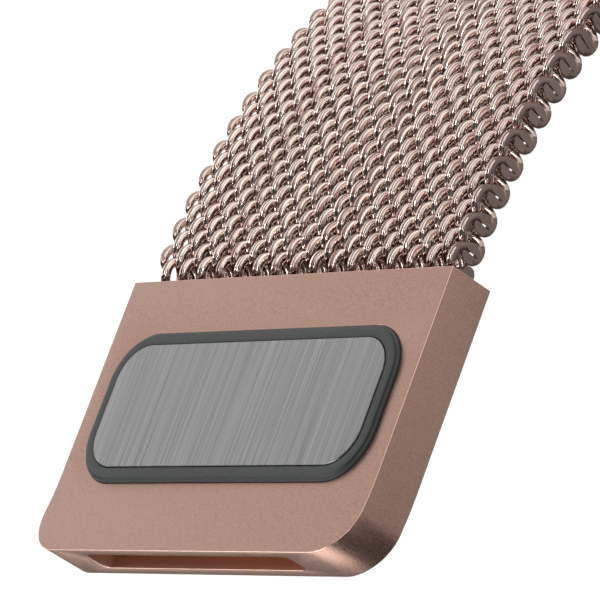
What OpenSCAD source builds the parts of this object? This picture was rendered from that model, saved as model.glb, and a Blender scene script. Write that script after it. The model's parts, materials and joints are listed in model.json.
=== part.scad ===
// Smartwatch on an open woven-wire band with a magnetic clasp.
// Millimetres. Origin: centre of the flat case back. +Z out of the display, +Y to 12 o'clock,
// +X to the crown. The watch stands display up on the flat bottom of its open band loop.

/* [Case] */
// width of the case across the band, without crown
case_w = 38; // [34:0.5:44]
// length of the case along the band, without lugs
case_l = 44; // [38:0.5:50]
// plan radius of the case corners
case_r = 10; // [6:0.5:14]
// top of the case rim above the back
rim_z = 9.2; // [8:0.1:12]
// underside of the case rim above the back
case_z0 = 0.6; // [0.3:0.1:1.5]
// side wall thickness
wall = 1.8; // [1.2:0.1:2.5]
// highest point of the glass
glass_top = 10.5; // [9.5:0.1:13]
// radius of the round sensor window in the back
sensor_r = 10.95; // [8:0.05:13]

/* [Lugs and spring bars] */
// distance of the spring bar axis from the case centre
lug_y = 24.4; // [23:0.1:28]
// height of the spring bar axis above the back
lug_z = 2.6; // [2:0.1:5]
// clear width between two lugs
lug_gap = 22.4; // [18:0.1:24.4]
// thickness of one lug
lug_t = 2.2; // [1.5:0.1:3]
// radius of the spring bar tube
bar_r = 0.9; // [0.6:0.05:1]
// radius of the spring bar tips
tip_r = 0.4; // [0.3:0.05:0.6]
// travel of the quick-release tip
tip_travel = 1.2; // [1:0.1:1.5]

/* [Band] */
// width of the woven band
band_w = 22; // [18:0.5:24]
// thickness of the woven band
mesh_t = 1.95; // [1.4:0.05:2.6]
// length of one band section, eleven wire rows
seg_l = 8.58; // [6:0.02:10]
// gap left around each section's round nose
nose_gap = 0.06; // [0.03:0.01:0.12]
// lean of the clasp at rest, free end outward
clasp_lean = 2; // [0:1:20]
// angle between clasp and first band section at rest
clasp_kink = 1.5; // [0:0.5:12]
// length of the lug connector from bar axis to first section
conn_l = 6; // [5:0.5:9]

/* [Clasp] */
// width of the clasp across the band
clasp_w = 23.4; // [19:0.1:26]
// length of the clasp along the band
clasp_l = 14.8; // [12:0.1:20]
// thickness of the clasp
clasp_t = 2.55; // [2:0.05:4]
// plan radius of the two corners at the free end
clasp_r = 2.25; // [1:0.05:5]
// length of the lifting lip at the free end
lip_l = 4.4; // [3:0.1:6]
// bend radius of the lifting lip
lip_r = 17.9; // [12:0.1:40]
// width of the slot in the free end
slot_w = 15.0; // [12:0.1:18]
// height of the slot in the free end
slot_h = 1.42; // [1:0.02:2]
// depth of the slot
slot_d = 3.6; // [2:0.1:4]
// half width of the dark bezel
bezel_hw = 10.5; // [8:0.05:11]
// half height of the dark bezel
bezel_hh = 4.0; // [3:0.05:5]
// width of the bezel ring
bezel_w = 0.72; // [0.5:0.02:1.2]
// plate height above the clasp face
plate_rise = 0.32; // [0.1:0.02:0.6]

/* [Hidden] */
$fn = 72;
e = 0.01;
rest_turn = [8.7, 13.5, 15, 18.4, 18, 8.9, 4, 0, 4, 20, 23, 20.6, 16, 12, 9, 6.4];
seg_n = len(rest_turn);
mr = mesh_t / 2;
nose_r = mr - 0.05;
mesh_dz = 1.25;
pivot_gap = 0.2;
end_y = 0.06;
crown_y = 8;
crown_z = 4.9;
crown_x = 19.8;
crown_n = 30;
btn_y = -7;
btn_z = 4.9;
btn_l = 9;
btn_h = 2.6;
ring_dz = 4.0;
ring_r = 0.8;
ring_in = 23.0;
ring_drop = 4.6;
rose = [0.72, 0.49, 0.42];
rose_light = [0.80, 0.58, 0.50];
dark = [0.13, 0.14, 0.14];
steel = [0.58, 0.59, 0.60];

// band path in the Y-Z plane, counted from the clasp to the lug
function hd(k) = clasp_lean + clasp_kink + (k == 0 ? 0 : turn_sum(k - 1));
function turn_sum(i) = rest_turn[i] + (i == 0 ? 0 : turn_sum(i - 1));
function arc_r(t) = seg_l * 180 / (PI * t);
function arc_step(h, t) = t == 0 ? [seg_l * sin(h), -seg_l * cos(h)]
  : [arc_r(t) * (cos(h) - cos(h + t)), arc_r(t) * (sin(h) - sin(h + t))];
function raw_p(k) = k == 0 ? [0, 0] : raw_p(k - 1) + arc_step(hd(k - 1), rest_turn[k - 1]);
h_lug = hd(seg_n);
raw_lug = raw_p(seg_n) + [conn_l * sin(h_lug), -conn_l * cos(h_lug)];
shift = [lug_y, lug_z] - raw_lug;
function path_p(k) = raw_p(k) + shift;
clasp_in = clasp_l + pivot_gap;
clasp_o = path_p(0) - clasp_in * [sin(clasp_lean), -cos(clasp_lean)]
  - mesh_dz * [cos(clasp_lean), sin(clasp_lean)];

// band frame: local X to -X, local Y from free end to lug, local Z out of the magnet face
module place(p, h) {
  translate([0, p[0], p[1]]) rotate([270 - h, 0, 180]) children();
}

module rr2(w, l, r) {
  union() {
    square([w - 2 * r, l], center = true);
    square([w, l - 2 * r], center = true);
    translate([w / 2 - r, l / 2 - r]) circle(r);
    translate([w / 2 - r, r - l / 2]) circle(r);
    translate([r - w / 2, l / 2 - r]) circle(r);
    translate([r - w / 2, r - l / 2]) circle(r);
  }
}

module rr(w, l, r, z0, z1) {
  translate([0, 0, z0]) linear_extrude(height = z1 - z0) rr2(w, l, r);
}

module xcyl(r, x0, x1) {
  translate([x0, 0, 0]) rotate([0, 90, 0]) cylinder(r = r, h = x1 - x0);
}

// case --------------------------------------------------------------------------------------
module lug(sx, sy) {
  x0 = sx > 0 ? lug_gap / 2 : -lug_gap / 2 - lug_t;
  difference() {
    union() {
      translate([0, sy * lug_y, lug_z]) xcyl(2.1, x0, x0 + lug_t);
      translate([x0, sy > 0 ? case_l / 2 - 2.2 : -lug_y, lug_z - 1.6])
        cube([lug_t, lug_y - case_l / 2 + 2.2, 3.7]);
    }
    translate([0, sy * lug_y, lug_z]) xcyl(tip_r + 0.05, sx > 0 ? x0 - 1 : x0 + lug_t - 1.3,
      sx > 0 ? x0 + 1.3 : x0 + lug_t + 1);
  }
}

module case_body() {
  color(rose) difference() {
    union() {
      rr(case_w - 1.0, case_l - 1.0, case_r - 0.5, case_z0, case_z0 + 0.5);
      rr(case_w, case_l, case_r, case_z0 + 0.5, rim_z - 0.4);
      rr(case_w - 0.8, case_l - 0.8, case_r - 0.4, rim_z - 0.4, rim_z);
      for (sx = [-1, 1]) for (sy = [-1, 1]) lug(sx, sy);
    }
    difference() {
      rr(case_w - 2 * wall, case_l - 2 * wall, case_r - wall, -1, 7.4);
      for (sx = [-1, 1]) for (sy = [-1, 1]) translate([sx * 14.6, sy * 17.6, 1.75])
        cylinder(r = 2.6, h = 6);
    }
    for (sx = [-1, 1]) for (sy = [-1, 1]) translate([sx * 13.6, sy * 16.6, 0])
      cylinder(r = 0.65, h = 4.2);
    rr(case_w - 5, case_l - 5, case_r - 2.5, 7, 9);
    rr(case_w - 2.4, case_l - 2.4, case_r - 1.2, 8.2, 11);
    translate([0, crown_y, crown_z]) xcyl(1.7, 15, 21);
    translate([15, btn_y, btn_z]) rotate([0, 90, 0]) linear_extrude(height = 6)
      rr2(btn_h + 0.12, btn_l + 0.12, btn_h / 2);
    translate([16.4, btn_y, btn_z]) rotate([0, 90, 0]) linear_extrude(height = 1.6)
      rr2(btn_h + 1.3, btn_l + 1.3, 0.6);
    for (i = [-1, 0, 1]) translate([0, i * 2.6 - 6, 4.4]) xcyl(0.55, -21, -15);
    translate([0, 9, 4.4]) xcyl(0.4, -21, -15);
  }
}

module front_glass() {
  color([0.02, 0.02, 0.03]) union() {
    rr(case_w - 2.5, case_l - 2.5, case_r - 1.25, 8.4, 9.8);
    rr(case_w - 3.1, case_l - 3.1, case_r - 1.55, 9.8, 10.2);
    rr(case_w - 4.3, case_l - 4.3, case_r - 2.15, 10.2, glass_top);
  }
}

module display_gasket() {
  color(dark) difference() {
    rr(case_w - 2.6, case_l - 2.6, case_r - 1.3, 8.2, 8.4);
    rr(case_w - 4.8, case_l - 4.8, case_r - 2.4, 8, 9);
  }
}

module display_panel() {
  color([0.05, 0.06, 0.09]) rr(case_w - 5.2, case_l - 5.2, case_r - 2.6, 7.4, 8.38);
}

module mid_frame() {
  color([0.25, 0.25, 0.27]) difference() {
    rr(case_w - 5.4, case_l - 5.4, case_r - 2.7, 7.02, 7.38);
    translate([0, 0, 6]) cylinder(r = 6, h = 3);
    translate([-9, 12, 6]) cylinder(r = 2, h = 3);
    translate([9, -12, 6]) cylinder(r = 2, h = 3);
  }
}

module main_board() {
  color([0.05, 0.25, 0.16]) difference() {
    rr(29, 33, 4, 5.3, 6.1);
    translate([13.3, crown_y - 2.5, 5]) cube([3, 5, 2]);
    translate([13.3, btn_y - 3.5, 5]) cube([3, 7, 2]);
    for (sx = [-1, 1]) for (sy = [-1, 1]) translate([sx * 14.6, sy * 17.6, 5])
      cylinder(r = 2.8, h = 2);
  }
}

module board_chips() {
  color([0.1, 0.1, 0.1]) {
    translate([-4, 2, 6.1]) cube([9, 9, 0.7]);
    translate([-12, -12, 6.1]) cube([6, 7, 0.7]);
    translate([3, -13, 6.1]) cube([7, 5, 0.6]);
    translate([-12, 6, 6.1]) cube([4, 4, 0.6]);
  }
}

module battery() {
  color([0.72, 0.73, 0.75]) translate([-3, -4, 1.9]) linear_extrude(height = 3.2) rr2(22, 19, 1.5);
}

module haptic_motor() {
  color(steel) translate([-3, 12, 1.9]) linear_extrude(height = 3.0) rr2(11, 7, 1);
}

module speaker() {
  color(dark) difference() {
    translate([12.2, 0, 1.9]) linear_extrude(height = 2.9) rr2(6.4, 9, 1);
    translate([12.2, 0, 4.3]) cylinder(r = 2, h = 2);
  }
}

module back_cover() {
  color([0.36, 0.26, 0.23]) difference() {
    union() {
      rr(case_w - 4.4, case_l - 4.4, case_r - 2.2, 0.3, 0.6);
      rr(case_w - 2 * wall - 0.1, case_l - 2 * wall - 0.1, case_r - wall - 0.05, 0.6, 1.7);
    }
    translate([0, 0, -1]) cylinder(r = sensor_r + 0.05, h = 4);
    for (s = [-1, 1]) translate([s * 3, -15, -1]) cylinder(r = 1.03, h = 4);
    for (sx = [-1, 1]) for (sy = [-1, 1]) translate([sx * 13.6, sy * 16.6, -1]) {
      cylinder(r = 0.65, h = 4);
      cylinder(r = 1.2, h = 2.0);
    }
  }
}

module sensor_window() {
  color([0.03, 0.03, 0.04]) union() {
    cylinder(r = sensor_r - 0.5, h = 0.25);
    translate([0, 0, 0.25]) cylinder(r = sensor_r, h = 0.95);
  }
}

module sensor_board() {
  color([0.05, 0.25, 0.16]) union() {
    translate([0, 0, 1.25]) cylinder(r = 10, h = 0.5);
    for (a = [0:90:270]) rotate([0, 0, a]) translate([5.2, -1, 1.2]) cube([2, 2, 0.1]);
  }
}

module charge_contacts() {
  color([0.83, 0.66, 0.3]) for (s = [-1, 1]) translate([s * 3, -15, 0.15]) cylinder(r = 1.0, h = 1.6);
}

module case_screws() {
  color(steel) for (sx = [-1, 1]) for (sy = [-1, 1]) translate([sx * 13.6, sy * 16.6, 0.5])
    difference() {
      union() {
        cylinder(r = 1.1, h = 0.45);
        cylinder(r = 0.6, h = 3.2);
      }
      translate([0, 0, -1]) cylinder(r = 0.45, h = 1.25, $fn = 6);
    }
}

// crown and side button ---------------------------------------------------------------------
module crown_tube() {
  color(steel) translate([0, crown_y, crown_z]) difference() {
    union() {
      xcyl(1.7, 17.2, 19.1);
      xcyl(2.1, 19.0, 19.25);
    }
    xcyl(0.86, 16, 21);
  }
}

module crown_shaft() {
  color(steel) translate([0, crown_y, crown_z]) union() {
    xcyl(0.8, 15.2, crown_x + 1.2);
    xcyl(1.3, 15.5, 16.1);
  }
}

module crown_clip() {
  color(dark) translate([0, crown_y, crown_z]) difference() {
    xcyl(1.6, 16.15, 16.65);
    xcyl(0.86, 16, 17);
    translate([16, -0.5, -2]) cube([1, 1, 2]);
  }
}

module crown_knob() {
  color(rose_light) translate([0, crown_y, crown_z]) difference() {
    union() {
      xcyl(3.0, crown_x, crown_x + 0.3);
      xcyl(3.25, crown_x + 0.3, crown_x + 2.2);
      xcyl(2.9, crown_x + 2.2, crown_x + 2.5);
    }
    xcyl(0.8, crown_x - 1, crown_x + 1.2);
    xcyl(2.1, crown_x + 2.25, crown_x + 3);
    for (i = [0:crown_n - 1]) rotate([i * 360 / crown_n, 0, 0]) translate([crown_x - 1, 3.12, -0.13])
      cube([5, 0.4, 0.26]);
  }
}

module crown_switch() {
  color([0.2, 0.2, 0.22]) translate([13.5, crown_y - 1.9, 3.2]) cube([1.2, 3.8, 2.0]);
}

module side_button() {
  color(rose_light) translate([0, btn_y, btn_z]) union() {
    translate([17.0, 0, 0]) rotate([0, 90, 0]) linear_extrude(height = 2.6)
      rr2(btn_h, btn_l, btn_h / 2 - 0.05);
    translate([19.6, 0, 0]) rotate([0, 90, 0]) linear_extrude(height = 0.3)
      rr2(btn_h - 0.5, btn_l - 0.5, btn_h / 2 - 0.3);
    translate([16.9, 0, 0]) rotate([0, 90, 0]) linear_extrude(height = 0.45)
      rr2(btn_h + 1.0, btn_l + 1.0, 0.5);
    translate([15.9, -1, -0.8]) cube([1.2, 2, 1.6]);
  }
}

module button_switch() {
  color([0.2, 0.2, 0.22]) translate([13.8, btn_y - 1.8, 3.4]) cube([1.6, 3.6, 1.9]);
}

// lug connectors and spring bars ------------------------------------------------------------
module connector_a() {
  c_w = lug_gap - 0.3;
  color(rose_light) difference() {
    union() {
      translate([0, lug_y, lug_z]) xcyl(1.75, -c_w / 2, c_w / 2);
      place([lug_y, lug_z], h_lug) {
        translate([-c_w / 2 + 0.3, -4.6, -1.2]) cube([c_w - 0.6, 4.6, 2.4]);
        translate([-band_w / 2 + 0.2, -conn_l, -mr]) cube([band_w - 0.4, 2, mesh_t]);
        translate([0, -conn_l, 0]) xcyl(nose_r, -band_w / 2 + 0.2, band_w / 2 - 0.2);
      }
      translate([-8, case_l / 2 + 0.05, lug_z - 1.4]) cube([16, 1.6, 1.2]);
    }
    translate([0, lug_y, lug_z]) xcyl(bar_r + 0.05, -20, 20);
    place([lug_y, lug_z], h_lug) translate([-10.4, -0.42, -3]) cube([3.2, 0.84, 3]);
  }
}

module bar_tube(p, h) {
  difference() {
    union() {
      translate([0, p, lug_z]) xcyl(bar_r, -lug_gap / 2 + 0.1, lug_gap / 2 - 0.1);
      translate([0, p, lug_z]) xcyl(tip_r, -lug_gap / 2 - 0.9, 0);
    }
    translate([0, p, lug_z]) xcyl(tip_r + 0.06, 5.6, 20);
    place([p, lug_z], h) translate([-10.3, -0.4, -3]) cube([3.0, 0.8, 3]);
  }
}

module release_pin(p, h) {
  union() {
    translate([0, p, lug_z]) xcyl(tip_r, 7.2, lug_gap / 2 + 0.9);
    place([p, lug_z], h) translate([-9.7, 0, -2.1]) cylinder(r = 0.34, h = 2.1);
    place([p, lug_z], h) translate([-9.7, 0, -2.27]) cylinder(r = 0.55, h = 0.45);
  }
}

module bar_tube_a() {
  color(steel) bar_tube(lug_y, h_lug);
}

module release_pin_a() {
  color(steel) release_pin(lug_y, h_lug);
}

module connector_b() {
  c_w = lug_gap - 0.3;
  color(rose_light) difference() {
    union() {
      translate([0, -lug_y, lug_z]) xcyl(1.75, -c_w / 2, c_w / 2);
      translate([-10, -lug_y - 0.8, lug_z - ring_dz]) cube([20, 1.6, ring_dz]);
      translate([0, -lug_y, lug_z - ring_dz]) xcyl(1.45, -10, 10);
      translate([-8, -case_l / 2 - 1.65, lug_z - 1.4]) cube([16, 1.6, 1.2]);
    }
    translate([0, -lug_y, lug_z]) xcyl(bar_r + 0.05, -20, 20);
    translate([0, -lug_y, lug_z - ring_dz]) xcyl(ring_r + 0.05, -20, 20);
    translate([7.2, -lug_y - 3, lug_z - 0.42]) cube([3.2, 3, 0.84]);
  }
}

module bar_tube_b() {
  color(steel) difference() {
    union() {
      translate([0, -lug_y, lug_z]) xcyl(bar_r, -lug_gap / 2 + 0.1, lug_gap / 2 - 0.1);
      translate([0, -lug_y, lug_z]) xcyl(tip_r, -lug_gap / 2 - 0.9, 0);
    }
    translate([0, -lug_y, lug_z]) xcyl(tip_r + 0.06, 5.6, 20);
    translate([7.3, -lug_y - 3, lug_z - 0.4]) cube([3.0, 3, 0.8]);
  }
}

module release_pin_b() {
  color(steel) union() {
    translate([0, -lug_y, lug_z]) xcyl(tip_r, 7.2, lug_gap / 2 + 0.9);
    translate([9.7, -lug_y, lug_z]) rotate([90, 0, 0]) cylinder(r = 0.34, h = 2.5);
    translate([9.7, -lug_y - 2.15, lug_z]) rotate([90, 0, 0]) cylinder(r = 0.6, h = 0.6);
  }
}

module buckle_ring() {
  zt = lug_z - ring_dz;
  color(rose_light) translate([0, -lug_y, zt]) union() {
    xcyl(ring_r, -ring_in / 2 - ring_r, ring_in / 2 + ring_r);
    translate([0, 0, -ring_drop]) xcyl(ring_r, -ring_in / 2 - ring_r, ring_in / 2 + ring_r);
    for (s = [-1, 1]) translate([s * (ring_in / 2 + ring_r), 0, -ring_drop]) {
      cylinder(r = ring_r, h = ring_drop);
      sphere(r = ring_r);
      translate([0, 0, ring_drop]) sphere(r = ring_r);
    }
  }
}

// woven band sections -------------------------------------------------------------------------
// i = 1 next to the lug, i = seg_n next to the clasp
module mesh(i) {
  k = seg_n - i;
  t = rest_turn[k];
  h = hd(k);
  p = path_p(k);
  q = path_p(k + 1);
  color(rose_light) difference() {
    union() {
      if (t == 0) place(p, h) translate([-band_w / 2, 0, -mr]) cube([band_w, seg_l, mesh_t]);
      if (t > 0) translate([0, p[0] + arc_r(t) * cos(h), p[1] + arc_r(t) * sin(h)])
        rotate([h + 180, 0, 0]) rotate([90, 0, 90]) rotate_extrude(angle = t, $fn = 360)
          translate([arc_r(t) - mr, -band_w / 2]) square([mesh_t, band_w]);
      translate([0, p[0], p[1]]) xcyl(nose_r, 0.1 - band_w / 2, band_w / 2 - 0.1);
    }
    translate([0, q[0], q[1]]) xcyl(mr + nose_gap, -band_w, band_w);
    if (k == 0) translate([0, p[0], p[1]]) xcyl(0.43, -band_w, band_w);
  }
}

// clasp ---------------------------------------------------------------------------------------
module clasp_frame() {
  place(clasp_o, clasp_lean) children();
}

module clasp_slab() {
  la = lip_l * 180 / (PI * lip_r);
  union() {
    translate([-clasp_w / 2, lip_l - e, -clasp_t]) cube([clasp_w, clasp_l - lip_l + e, clasp_t]);
    translate([0, lip_l, lip_r]) rotate([270, 0, 0]) rotate([90, 0, 90]) rotate([0, 0, -la])
      rotate_extrude(angle = la, $fn = 360)
        translate([lip_r, -clasp_w / 2]) square([clasp_t, clasp_w]);
  }
}

module clasp_plan() {
  translate([0, end_y]) {
    translate([-clasp_w / 2, clasp_r]) square([clasp_w, clasp_l - clasp_r - end_y]);
    translate([clasp_r - clasp_w / 2, 0]) square([clasp_w - 2 * clasp_r, clasp_r + 1]);
    translate([clasp_r - clasp_w / 2, clasp_r]) circle(clasp_r);
    translate([clasp_w / 2 - clasp_r, clasp_r]) circle(clasp_r);
  }
}

module clasp_body() {
  color(rose) clasp_frame() difference() {
    intersection() {
      clasp_slab();
      translate([0, 0, -5]) linear_extrude(height = 10) clasp_plan();
    }
    translate([0, clasp_l + pivot_gap, -mesh_dz])
      xcyl(mr + 0.08, -band_w / 2 - 0.1, band_w / 2 + 0.1);
    translate([0, clasp_l + pivot_gap, -mesh_dz])
      xcyl(0.43, -band_w / 2 - 0.4, band_w / 2 + 0.4);
    translate([0, 7.85, -0.5]) linear_extrude(height = 3)
      rr2(2 * bezel_hw + 0.04, 2 * bezel_hh + 0.04, 2.6);
    translate([0, 7.85, -1.9]) linear_extrude(height = 3) rr2(18.6, 5.4, 0.15);
    translate([0, 0, -clasp_t / 2 + 0.56]) rotate([-11, 0, 0]) translate([0, -1, 0])
      rotate([-90, 0, 0]) linear_extrude(height = slot_d + 1) rr2(slot_w, slot_h, 0.45);
  }
}

module magnet_bezel() {
  color(dark) clasp_frame() translate([0, 7.85, 0]) difference() {
    union() {
      rr(2 * bezel_hw, 2 * bezel_hh, 2.58, -0.5, 0.12);
      rr(2 * bezel_hw - 0.3, 2 * bezel_hh - 0.3, 2.43, 0.12, 0.26);
    }
    rr(2 * (bezel_hw - bezel_w), 2 * (bezel_hh - bezel_w), 1.86, -1, 1);
  }
}

module magnet_plate() {
  color(steel) clasp_frame() translate([0, 7.85, 0])
    rr(2 * (bezel_hw - bezel_w) - 0.04, 2 * (bezel_hh - bezel_w) - 0.04, 1.84, -0.5, plate_rise);
}

module magnet_blocks() {
  color([0.7, 0.71, 0.72]) clasp_frame() for (i = [-1, 0, 1]) translate([i * 6.2 - 3.0, 7.85 - 2.6, -1.88])
    cube([6.0, 5.2, 1.36]);
}

module end_rod() {
  color(steel) clasp_frame() translate([0, clasp_l + pivot_gap, -mesh_dz])
    xcyl(0.38, -band_w / 2 - 0.38, band_w / 2 + 0.38);
}

case_body();
front_glass();
display_gasket();
display_panel();
mid_frame();
main_board();
board_chips();
battery();
haptic_motor();
speaker();
back_cover();
sensor_window();
sensor_board();
charge_contacts();
case_screws();
crown_tube();
crown_clip();
crown_shaft();
crown_knob();
crown_switch();
side_button();
button_switch();
connector_a();
bar_tube_a();
release_pin_a();
connector_b();
bar_tube_b();
release_pin_b();
buckle_ring();
mesh(1);  // mesh_01
mesh(2);  // mesh_02
mesh(3);  // mesh_03
mesh(4);  // mesh_04
mesh(5);  // mesh_05
mesh(6);  // mesh_06
mesh(7);  // mesh_07
mesh(8);  // mesh_08
mesh(9);  // mesh_09
mesh(10);  // mesh_10
mesh(11);  // mesh_11
mesh(12);  // mesh_12
mesh(13);  // mesh_13
mesh(14);  // mesh_14
mesh(15);  // mesh_15
mesh(16);  // mesh_16
end_rod();
clasp_body();
magnet_bezel();
magnet_plate();
magnet_blocks();
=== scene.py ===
"""Looks of the smartwatch: wire coils of the woven band, bevelled metal, glass, floor and light."""

import json
import math

import bmesh
import bpy
import numpy as np
from mathutils import Matrix, Vector


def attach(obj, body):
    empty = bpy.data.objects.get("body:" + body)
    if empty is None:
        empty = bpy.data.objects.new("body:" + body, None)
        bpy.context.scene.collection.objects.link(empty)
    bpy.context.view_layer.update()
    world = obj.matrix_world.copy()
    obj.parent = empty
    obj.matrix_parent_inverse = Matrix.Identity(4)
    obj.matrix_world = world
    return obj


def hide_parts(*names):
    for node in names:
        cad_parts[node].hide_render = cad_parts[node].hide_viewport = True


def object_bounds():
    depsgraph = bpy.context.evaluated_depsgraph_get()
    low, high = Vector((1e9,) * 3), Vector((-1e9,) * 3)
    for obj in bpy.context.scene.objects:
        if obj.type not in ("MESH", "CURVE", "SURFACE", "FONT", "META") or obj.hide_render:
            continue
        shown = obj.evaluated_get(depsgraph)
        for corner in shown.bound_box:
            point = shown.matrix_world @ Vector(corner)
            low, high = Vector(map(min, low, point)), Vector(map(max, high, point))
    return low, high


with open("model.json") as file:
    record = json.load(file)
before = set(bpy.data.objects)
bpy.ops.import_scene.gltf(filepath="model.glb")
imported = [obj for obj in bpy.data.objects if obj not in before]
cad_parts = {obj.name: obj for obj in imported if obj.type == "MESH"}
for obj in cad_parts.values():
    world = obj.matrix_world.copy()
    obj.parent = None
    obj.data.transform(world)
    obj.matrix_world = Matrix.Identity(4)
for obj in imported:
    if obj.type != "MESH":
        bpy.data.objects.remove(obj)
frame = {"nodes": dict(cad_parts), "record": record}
bpy.context.view_layer.update()
lo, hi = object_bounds()
MM = 0.001

# ---------------------------------------------------------------- band path (mm, same as the CAD)
REST_TURN = [8.7, 13.5, 15, 18.4, 18, 8.9, 4, 0, 4, 20, 23, 20.6, 16, 12, 9, 6.4]
SEG_N = len(REST_TURN)
SEG_L = 8.58
LEAN, KINK = 2.0, 1.5
CONN_L = 6.0
LUG = np.array([24.4, 2.6])
CLASP_L = 14.8
PIVOT_GAP, MESH_DZ = 0.2, 1.25
BAND_W = 22.0
TABLE_MARGIN, TABLE_STEPS = 3.0, 2901


def direction(h):
    """Unit vector along the band in the YZ plane at heading h, 0 being straight down."""
    return np.array([math.sin(h), -math.cos(h)])


def outward(h):
    """Unit vector out of the band's outer face in the YZ plane."""
    return np.array([-math.cos(h), -math.sin(h)])


def walk(u):
    """Point and heading at distance u (mm) along the band from the clasp, before the shift to the lug."""
    p = np.array([0.0, 0.0])
    h = math.radians(LEAN + KINK)
    if u < 0:
        return p + u * direction(h), h
    for t in REST_TURN:
        t = math.radians(t)
        l = min(u, SEG_L)
        dt = t * l / SEG_L
        if abs(t) < 1e-9:
            p = p + l * direction(h)
        else:
            r = SEG_L / t
            p = p + r * np.array([math.cos(h) - math.cos(h + dt), math.sin(h) - math.sin(h + dt)])
        h += dt
        u -= l
        if u <= 1e-9:
            return p, h
    return p + u * direction(h), h


end_p, end_h = walk(SEG_L * SEG_N)
SHIFT = LUG - (end_p + CONN_L * direction(end_h))
TABLE_U = np.linspace(-TABLE_MARGIN, SEG_L * SEG_N + TABLE_MARGIN, TABLE_STEPS)
_walked = [walk(u) for u in TABLE_U]
TABLE_P = np.array([w[0] for w in _walked]) + SHIFT
TABLE_H = np.array([w[1] for w in _walked])


def on_band(x, u, z):
    """Shared-frame points (m) of band coordinates (mm): x across, u along from the clasp, z outward."""
    py = np.interp(u, TABLE_U, TABLE_P[:, 0])
    pz = np.interp(u, TABLE_U, TABLE_P[:, 1])
    h = np.interp(u, TABLE_U, TABLE_H)
    return np.stack([-x, py - z * np.cos(h), pz - z * np.sin(h)], -1) * MM


lean = math.radians(LEAN)
CLASP_O = SHIFT - (CLASP_L + PIVOT_GAP) * direction(lean) + MESH_DZ * outward(lean)
AX = Vector((-1, 0, 0))
AY = Vector((0, *direction(lean)))
AZ = Vector((0, *outward(lean)))
CLASP_M = Matrix.Translation(Vector((0, *CLASP_O)) * MM) @ Matrix((AX, AY, AZ)).transposed().to_4x4()


# ---------------------------------------------------------------- camera
cam_data = bpy.data.cameras.new("camera")
cam = bpy.data.objects.new("camera", cam_data)
bpy.context.scene.collection.objects.link(cam)
bpy.context.scene.camera = cam
cam_data.sensor_width = 36.0
cam_data.lens = 312.0
cam_data.dof.use_dof = False
right = Vector((0.6445, 0.3315, -0.6890))
down = Vector((-0.0303, -0.8893, -0.4562))
ahead = right.cross(down)
turn = CLASP_M.to_3x3()
cam.matrix_world = Matrix.Translation(CLASP_M @ (Vector((188.53, -63.68, 137.81)) * MM)) @ Matrix(
    (turn @ right, turn @ -down, turn @ -ahead)
).transposed().to_4x4()
cam_data.clip_start, cam_data.clip_end = 0.01, 20.0


# ---------------------------------------------------------------- materials
def new_mat(name):
    m = bpy.data.materials.new(name)
    m.use_nodes = True
    nt = m.node_tree
    nt.nodes.clear()
    out = nt.nodes.new("ShaderNodeOutputMaterial")
    sh = nt.nodes.new("ShaderNodeBsdfPrincipled")
    nt.links.new(sh.outputs[0], out.inputs[0])
    return m, nt, sh


def coords(nt, scale=(1, 1, 1)):
    tc = nt.nodes.new("ShaderNodeTexCoord")
    mp = nt.nodes.new("ShaderNodeMapping")
    mp.inputs["Scale"].default_value = scale
    nt.links.new(tc.outputs["Object"], mp.inputs[0])
    return mp.outputs[0]


def noise(nt, vec, scale, detail=2.0, rough=0.5):
    n = nt.nodes.new("ShaderNodeTexNoise")
    n.inputs["Scale"].default_value = scale
    n.inputs["Detail"].default_value = detail
    n.inputs["Roughness"].default_value = rough
    nt.links.new(vec, n.inputs["Vector"])
    return n.outputs["Fac"]


def ramp(nt, fac, lo_v, hi_v, lo_c, hi_c):
    r = nt.nodes.new("ShaderNodeMapRange")
    r.inputs["From Min"].default_value = lo_v
    r.inputs["From Max"].default_value = hi_v
    r.inputs["To Min"].default_value = lo_c
    r.inputs["To Max"].default_value = hi_c
    nt.links.new(fac, r.inputs["Value"])
    return r.outputs[0]


def tint(nt, fac, a, b):
    m = nt.nodes.new("ShaderNodeMix")
    m.data_type = "RGBA"
    nt.links.new(fac, m.inputs["Factor"])
    m.inputs["A"].default_value = (*a, 1)
    m.inputs["B"].default_value = (*b, 1)
    return m.outputs["Result"]


def bump(nt, sh, fac, strength, distance):
    b = nt.nodes.new("ShaderNodeBump")
    b.inputs["Strength"].default_value = strength
    b.inputs["Distance"].default_value = distance
    nt.links.new(fac, b.inputs["Height"])
    nt.links.new(b.outputs[0], sh.inputs["Normal"])


def surface(name, a, b, rough, metallic=0.0, grain=9000.0, bump_mm=0.004, wide=120.0,
            stretch=(1, 1, 1), coat=0.0, streak=False):
    """Two tints over a broad noise (or over the grain, with streak), a fine grain in roughness and relief."""
    m, nt, sh = new_mat(name)
    v = coords(nt, stretch)
    broad = noise(nt, coords(nt), wide, 3.0)
    fine = noise(nt, v, grain, 2.0, 0.6)
    nt.links.new(tint(nt, ramp(nt, fine if streak else broad, 0.3, 0.7, 0, 1), a, b), sh.inputs["Base Color"])
    nt.links.new(ramp(nt, fine, 0.3, 0.7, rough[0], rough[1]), sh.inputs["Roughness"])
    sh.inputs["Metallic"].default_value = metallic
    sh.inputs["Coat Weight"].default_value = coat
    sh.inputs["Coat Roughness"].default_value = 0.05
    if bump_mm:
        bump(nt, sh, fine, 0.5, bump_mm * MM)
    return m


M = {}
M["satin"] = surface("rose_satin", (0.295, 0.177, 0.139), (0.43, 0.271, 0.220), (0.27, 0.44), 1.0, 11000,
                     0.014, streak=True)
M["polish"] = surface("rose_polish", (0.80, 0.545, 0.455), (0.83, 0.575, 0.485), (0.10, 0.20), 1.0, 3000,
                      0.0)


# angle around the wire of a painted dark reflection line along the strand's outer side
PAINTED_LINE_ANGLE = math.radians(17)


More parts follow.
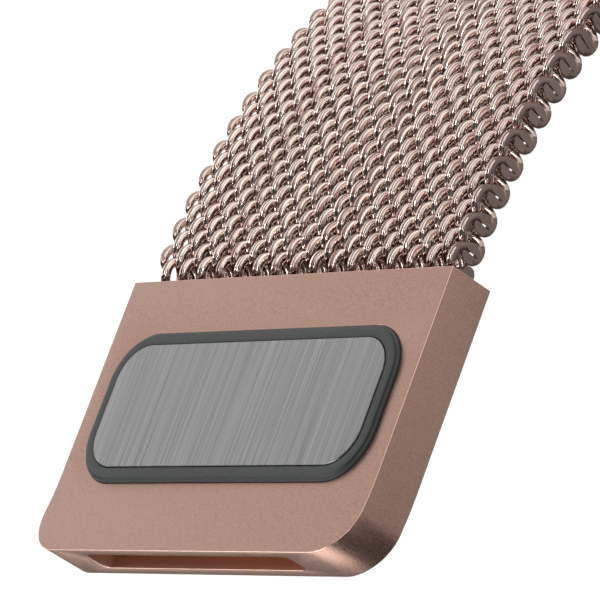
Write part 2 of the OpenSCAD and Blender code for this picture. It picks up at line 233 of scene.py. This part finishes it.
def wire_material():
    """Drawn wire: die marks run along the strand in roughness and relief, their colour swings between dark
    brown and cream as painted shade and painted highlight streaks, and one painted dark reflection line runs
    along the outer side.
    """
    m, nt, sh = new_mat("rose_wire")
    at = nt.nodes.new("ShaderNodeAttribute")
    at.attribute_name = "ring"
    # die marks along the strand: real roughness and relief, and also painted highlight and shade streaks in the
    # colour
    die_marks_and_painted_streaks = noise(nt, at.outputs["Vector"], 3.2, 3.0, 0.65)
    flat = nt.nodes.new("ShaderNodeVectorMath")
    flat.operation = "MULTIPLY"
    flat.inputs[1].default_value = (1, 1, 0)
    unit = nt.nodes.new("ShaderNodeVectorMath")
    unit.operation = "NORMALIZE"
    dot = nt.nodes.new("ShaderNodeVectorMath")
    dot.operation = "DOT_PRODUCT"
    nt.links.new(at.outputs["Vector"], flat.inputs[0])
    nt.links.new(flat.outputs[0], unit.inputs[0])
    nt.links.new(unit.outputs[0], dot.inputs[0])
    dot.inputs[1].default_value = (math.cos(PAINTED_LINE_ANGLE), math.sin(PAINTED_LINE_ANGLE), 0)
    # painted dark reflection line: a thin band around the wire near its outer side, darkened in the base colour
    painted_dark_line = ramp(nt, dot.outputs["Value"], 0.986, 0.996, 0, 0.9)
    # painted highlight and shade: the die-mark noise swings the base colour from dark brown to cream in streaks
    # along the strand
    base = tint(nt, ramp(nt, die_marks_and_painted_streaks, 0.44, 0.57, 0, 1), (0.31, 0.175, 0.155), (1.0, 0.88, 0.79))
    # mixes the painted dark reflection line's colour into the base colour
    mix = nt.nodes.new("ShaderNodeMix")
    mix.data_type = "RGBA"
    nt.links.new(painted_dark_line, mix.inputs["Factor"])
    nt.links.new(base, mix.inputs["A"])
    mix.inputs["B"].default_value = (0.10, 0.06, 0.05, 1)
    nt.links.new(mix.outputs["Result"], sh.inputs["Base Color"])
    nt.links.new(ramp(nt, die_marks_and_painted_streaks, 0.3, 0.7, 0.16, 0.07), sh.inputs["Roughness"])
    sh.inputs["Metallic"].default_value = 1.0
    bump(nt, sh, die_marks_and_painted_streaks, 0.5, 0.012 * MM)
    return m


M["wire"] = wire_material()
M["ground"] = surface("rose_ground", (0.20, 0.145, 0.125), (0.27, 0.195, 0.17), (0.40, 0.55), 1.0, 5000,
                      0.004, stretch=(1, 0.15, 1))
# lighter copy of the rose metal for the faces inside the clasp's slot: painted light in the recess
M["slot_painted_light"] = surface("rose_slot_painted_light", (0.58, 0.34, 0.265), (0.66, 0.40, 0.31), (0.35, 0.5), 1.0, 5000, 0.003)
M["bezel"] = surface("bezel_dark", (0.018, 0.023, 0.022), (0.026, 0.031, 0.030), (0.42, 0.55), 0.0, 6000,
                     0.003)
M["brushed"] = surface("plate_brushed", (0.145, 0.145, 0.145), (0.32, 0.32, 0.32), (0.26, 0.42), 1.0, 900,
                       0.003, stretch=(22, 0.5, 0.10), streak=True)
M["steel"] = surface("steel_machined", (0.55, 0.55, 0.56), (0.60, 0.60, 0.61), (0.22, 0.36), 1.0, 4000, 0.003)
M["glass"] = surface("glass_black", (0.006, 0.006, 0.007), (0.009, 0.009, 0.011), (0.03, 0.07), 0.0, 400,
                     0.0, coat=1.0)
M["polymer"] = surface("polymer_black", (0.02, 0.02, 0.02), (0.03, 0.03, 0.03), (0.5, 0.65), 0.0, 4000, 0.004)
M["back"] = surface("back_bronze", (0.16, 0.105, 0.085), (0.19, 0.125, 0.10), (0.35, 0.5), 0.3, 5000, 0.003)
M["board"] = surface("board_green", (0.01, 0.09, 0.045), (0.015, 0.12, 0.06), (0.4, 0.6), 0.0, 1500, 0.004)
M["foil"] = surface("battery_foil", (0.55, 0.56, 0.58), (0.62, 0.63, 0.65), (0.3, 0.5), 1.0, 2000, 0.004)
M["gold"] = surface("contact_gold", (0.85, 0.62, 0.26), (0.88, 0.66, 0.30), (0.2, 0.3), 1.0, 4000, 0.002)
M["screen"] = surface("display_dark", (0.010, 0.011, 0.014), (0.014, 0.015, 0.019), (0.2, 0.3), 0.0, 12000,
                      0.001)

# nodes that keep their CAD mesh; the bevelled ones are in BEVEL below
NODE_MAT = {
    "display_gasket": "polymer", "display_panel": "screen", "mid_frame": "steel", "main_board": "board",
    "board_chips": "polymer", "battery": "foil", "haptic_motor": "steel", "speaker": "polymer",
    "sensor_board": "board", "charge_contacts": "gold", "case_screws": "steel", "crown_tube": "steel",
    "crown_clip": "polymer", "crown_shaft": "steel", "crown_switch": "polymer", "button_switch": "polymer",
    "release_pin_a": "steel", "release_pin_b": "steel", "buckle_ring": "polish", "end_rod": "ground",
    "magnet_blocks": "steel",
}


# ---------------------------------------------------------------- bevelled copies of CAD nodes
def add_object(name, mesh, body, node):
    ob = bpy.data.objects.new(name, mesh)
    bpy.context.scene.collection.objects.link(ob)
    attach(ob, body)
    if node:
        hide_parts(node)
    return ob


def shade(mesh, angle=32):
    mesh.polygons.foreach_set("use_smooth", [True] * len(mesh.polygons))
    mesh.set_sharp_from_angle(angle=math.radians(angle))


SHARP = math.radians(28)
BODY_OF = {n: b for b, ns in frame["record"]["behaviour"]["bodies"].items() for n in ns}


def refine(node, width, mats, inner=None):
    """A copy of a CAD node's mesh with welded vertices, merged flat faces and rounded edges."""
    src = frame["nodes"][node]
    bm = bmesh.new()
    bm.from_mesh(src.data)
    bmesh.ops.transform(bm, matrix=src.matrix_world, verts=bm.verts)
    bmesh.ops.remove_doubles(bm, verts=bm.verts, dist=2e-6)
    bmesh.ops.dissolve_limit(bm, angle_limit=math.radians(0.6), verts=bm.verts, edges=bm.edges)
    for f in bm.faces:
        f.material_index = 0
    sharp = [e for e in bm.edges if len(e.link_faces) == 2 and e.calc_face_angle(0) > SHARP]
    if width:
        bmesh.ops.bevel(bm, geom=sharp, offset=width * MM, segments=3, profile=0.5, affect="EDGES",
                        clamp_overlap=True, material=1)
    bmesh.ops.triangulate(bm, faces=[f for f in bm.faces if len(f.verts) > 4])
    if inner:
        for f in bm.faces:
            if f.material_index == 0 and inner(f.calc_center_median()):
                f.material_index = 2
    me = bpy.data.meshes.new(node + "_detail")
    bm.to_mesh(me)
    bm.free()
    for m in mats:
        me.materials.append(M[m])
    shade(me)
    return add_object(node + "_detail", me, BODY_OF[node], node)


# bevel width (mm) and the materials of faces, edges and inner faces; the faces inside the clasp's slot get a
# lighter rose metal as painted light
BEVEL = {
    "case_body": (0.15, ["satin", "polish"]), "front_glass": (0, ["glass"]), "crown_knob": (0.08, ["polish"]),
    "side_button": (0.08, ["satin", "polish"]), "connector_a": (0.10, ["satin", "polish"]),
    "connector_b": (0.10, ["satin", "polish"]), "back_cover": (0.05, ["back"]),
    "sensor_window": (0.10, ["glass"]), "bar_tube_a": (0.04, ["steel"]), "bar_tube_b": (0.04, ["steel"]),
    "clasp_body": (0.11, ["satin", "polish", "slot_painted_light"]), "magnet_bezel": (0.12, ["bezel"]),
    "magnet_plate": (0.05, ["brushed"]),
}
CLASP_INV = CLASP_M.inverted()
SLOT_HALF_W, SLOT_Z, SLOT_Y = 7.6, (-2.45, -0.06), (0.12, 5.0)


def in_slot(p):
    """True inside the long slot in the clasp's free end, whose faces get the lighter rose metal as painted
    light.
    """
    q = CLASP_INV @ p / MM
    return abs(q.x) < SLOT_HALF_W and SLOT_Z[0] < q.z < SLOT_Z[1] and SLOT_Y[0] < q.y < SLOT_Y[1]


for n, (w, ms) in BEVEL.items():
    refine(n, w, ms if len(ms) > 1 else ms * 2, inner=in_slot if n == "clasp_body" else None)
for n, o in frame["nodes"].items():
    if n in NODE_MAT:
        o.data.materials.clear()
        o.data.materials.append(M[NODE_MAT[n]])

# ---------------------------------------------------------------- woven wire (mm)
# ROWS coils a section, one turn every PITCH; every other row is shifted half a turn by PHASE.
# COIL_A and COIL_B are the half length and half thickness of a turn's centreline, which SLANT, LEAD
# and SKEW bend sideways. Coils run OVERRUN past the edges before they are cut. GROUND_X starts the ground ends.
ROWS = 11
ROW = SEG_L / ROWS
PITCH = 1.40
WIRE_R = 0.242
COIL_A = 0.68
COIL_B = 0.71
SLANT = 0.09
LEAD = -0.02
SKEW = 0.02
GROUND_X = 10.83
ROW_START = 0.345
PHASE = (0.495, 1.195)
OVERRUN = 3.0
# scale along the strand of the die marks and their painted highlight and shade streaks
MARK_AND_STREAK_STEP = 0.12


def coil_row(row, steps, sides):
    """Vertices and quads of one coil, running across the band at row centre u0."""
    u0 = (row + 0.5) * ROW + ROW_START
    shift = PHASE[row % 2]
    turns = (BAND_W + OVERRUN) / PITCH
    n = int(turns * steps)
    th = np.linspace(-math.pi * turns, math.pi * turns, n)
    x = PITCH * th / (2 * math.pi) + shift + SLANT * np.sin(2 * th) + LEAD * np.cos(2 * th)
    u = u0 - COIL_A * np.cos(th) + SKEW * np.sin(th)
    z = COIL_B * np.sin(th)
    c = np.stack([x, u, z], -1)
    tan = np.gradient(c, axis=0)
    tan /= np.linalg.norm(tan, axis=1)[:, None]
    ref = np.stack([np.zeros(n), -np.cos(th), np.sin(th)], -1)
    nor = ref - (ref * tan).sum(1)[:, None] * tan
    nor /= np.linalg.norm(nor, axis=1)[:, None]
    bi = np.cross(tan, nor)
    a = np.linspace(0, 2 * math.pi, sides, endpoint=False)
    cos_a, sin_a = np.cos(a)[None, :], np.sin(a)[None, :]
    ring = c[:, None] + WIRE_R * (cos_a[..., None] * nor[:, None] + sin_a[..., None] * bi[:, None])
    v = on_band(ring[..., 0], ring[..., 1], ring[..., 2]).reshape(-1, 3)
    mark_and_streak_coords = np.stack(np.broadcast_arrays(cos_a, sin_a, MARK_AND_STREAK_STEP * th[:, None]), -1).reshape(-1, 3)
    i = np.arange(n - 1)[:, None] * sides
    j = np.arange(sides)[None, :]
    k = (j + 1) % sides
    f = np.stack([i + j, i + sides + j, i + sides + k, i + k], -1).reshape(-1, 4)
    return v, f, mark_and_streak_coords


def woven(i):
    """One band section: its coils cut at the band's edges, each cut closed with a ground face."""
    k = SEG_N - i
    steps, sides = (24, 14) if k <= 1 else (16, 8)
    whole = bmesh.new()
    out = bpy.data.meshes.new("mesh_%02d_wire" % i)
    for r in range(ROWS * k, ROWS * k + ROWS):
        v, f, mark_and_streak_coords = coil_row(r, steps, sides)
        me = bpy.data.meshes.new("tmp")
        me.from_pydata(v.tolist(), [], f.tolist())
        me.attributes.new("ring", "FLOAT_VECTOR", "POINT").data.foreach_set("vector", mark_and_streak_coords.ravel())
        bm = bmesh.new()
        bm.from_mesh(me)
        for side in (-1, 1):
            cut = bmesh.ops.bisect_plane(
                bm, geom=bm.verts[:] + bm.edges[:] + bm.faces[:], dist=1e-8,
                plane_co=(side * BAND_W / 2 * MM, 0, 0), plane_no=(side, 0, 0), clear_outer=True)
            edges = [e for e in cut["geom_cut"] if isinstance(e, bmesh.types.BMEdge)]
            bmesh.ops.edgeloop_fill(bm, edges=edges, mat_nr=1, use_smooth=False)
        for f in bm.faces:
            if -f.calc_center_median().x > GROUND_X * MM:
                f.material_index = 1
        bm.to_mesh(me)
        bm.free()
        whole.from_mesh(me)
        bpy.data.meshes.remove(me)
    bmesh.ops.triangulate(whole, faces=[f for f in whole.faces if len(f.verts) > 4])
    whole.to_mesh(out)
    whole.free()
    out.materials.append(M["wire"])
    out.materials.append(M["ground"])
    shade(out, 50)
    name = "mesh_%02d" % i
    return add_object(name + "_wire", out, name, name)


for i in range(1, SEG_N + 1):
    woven(i)

# ---------------------------------------------------------------- floor, light
FLOOR = lo.z
bpy.ops.mesh.primitive_plane_add(size=12, location=(0, 0, FLOOR))
floor = bpy.context.object
floor.name = "floor"
floor.data.materials.append(surface("floor_pale", (0.86, 0.86, 0.86), (0.90, 0.90, 0.90), (0.5, 0.7), 0.0, 40,
                                    0.0, wide=3))


def area(name, loc, target, size, power):
    """A rectangular soft light at loc, aimed at target; size in metres, power in watts."""
    d = bpy.data.lights.new(name, "AREA")
    d.shape = "RECTANGLE"
    d.size, d.size_y = size
    d.energy = power
    o = bpy.data.objects.new(name, d)
    bpy.context.scene.collection.objects.link(o)
    o.location = loc
    o.visible_camera = False
    o.rotation_mode = "QUATERNION"
    o.rotation_quaternion = (Vector(target) - Vector(loc)).to_track_quat("-Z", "Y")


area("top", (0.42, -0.05, 0.60), (0.42, -0.05, -0.05), (0.9, 0.9), 8)
area("near", (0.09, -0.12, 0.28), (0.07, -0.09, -0.05), (0.10, 0.10), 0.25)
area("strip_front", (-0.12, -1.0, 0.02), (0, -0.04, -0.02), (0.10, 0.8), 1.7)
area("strip_left", (-0.75, -0.70, 0.12), (0, -0.04, -0.02), (0.08, 0.8), 1.4)
area("side", (-0.9, 0.1, 0.3), (0, -0.03, -0.02), (0.2, 0.6), 0.45)
area("low", (0.62, -0.54, 0.05), (0, -0.05, -0.002), (0.35, 0.06), 0.5)

world = bpy.data.worlds.new("studio")
bpy.context.scene.world = world
world.use_nodes = True
world.node_tree.nodes["Background"].inputs["Color"].default_value = (0.95, 0.95, 0.96, 1)
world.node_tree.nodes["Background"].inputs["Strength"].default_value = 0.14
bpy.context.scene.view_settings.view_transform = "Standard"

bpy.context.view_layer.update()
